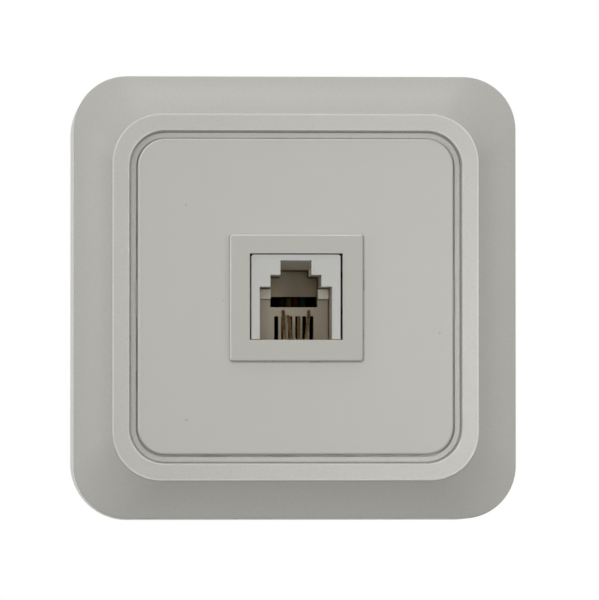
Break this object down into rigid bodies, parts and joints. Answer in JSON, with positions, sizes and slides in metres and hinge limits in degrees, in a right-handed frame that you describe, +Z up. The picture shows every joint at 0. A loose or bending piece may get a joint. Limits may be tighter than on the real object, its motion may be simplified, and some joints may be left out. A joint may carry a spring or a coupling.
{
  "type": "telephone wall socket",
  "caption": "Square surface-mounted wall socket with a coved frame, a snap-in centre panel and a stepped modular telephone jack wired to screw terminals on its base.",
  "frame": {"origin": "midway between the two wall-screw slots, on the wall plane", "axes": "+Z up, +Y into the wall, the front faces -Y, +X to the right seen from the front"},
  "size_m": [0.065, 0.022, 0.065],
  "materials": {
    "shell_plastic": "warm light grey moulded plastic, satin, with faint moulding texture",
    "base_plastic": "warm light grey moulded plastic, matt",
    "jack_plastic": "light grey moulded plastic, slightly whiter than the cover",
    "carrier_plastic": "light grey moulded plastic, matt",
    "contact_gold": "drawn phosphor bronze wire, dull gold plating",
    "terminal_brass": "stamped brass",
    "washer_steel": "stamped zinc-plated steel",
    "screw_steel": "zinc-plated steel",
    "spade_tin": "tinned brass",
    "lead_black": "insulated wire",
    "lead_yellow": "insulated wire",
    "lead_red": "insulated wire",
    "lead_green": "insulated wire"
  },
  "bodies": {
    "root": {"base": "base_plastic", "cover_frame": "shell_plastic", "centre_panel": "shell_plastic", "jack_housing": "jack_plastic", "contact_carrier": "carrier_plastic", "terminal_washers": "washer_steel", "terminal_screws": "screw_steel", "cover_screws": "screw_steel", "contact_1": "contact_gold", "terminal_plate_1": "terminal_brass", "contact_2": "contact_gold", "terminal_plate_2": "terminal_brass", "contact_3": "contact_gold", "terminal_plate_3": "terminal_brass", "contact_4": "contact_gold", "terminal_plate_4": "terminal_brass", "lead_black": "lead_black", "spade_black": "spade_tin", "lead_yellow": "lead_yellow", "spade_yellow": "spade_tin", "lead_red": "lead_red", "spade_red": "spade_tin", "lead_green": "lead_green", "spade_green": "spade_tin"}
  },
  "joints": []
}
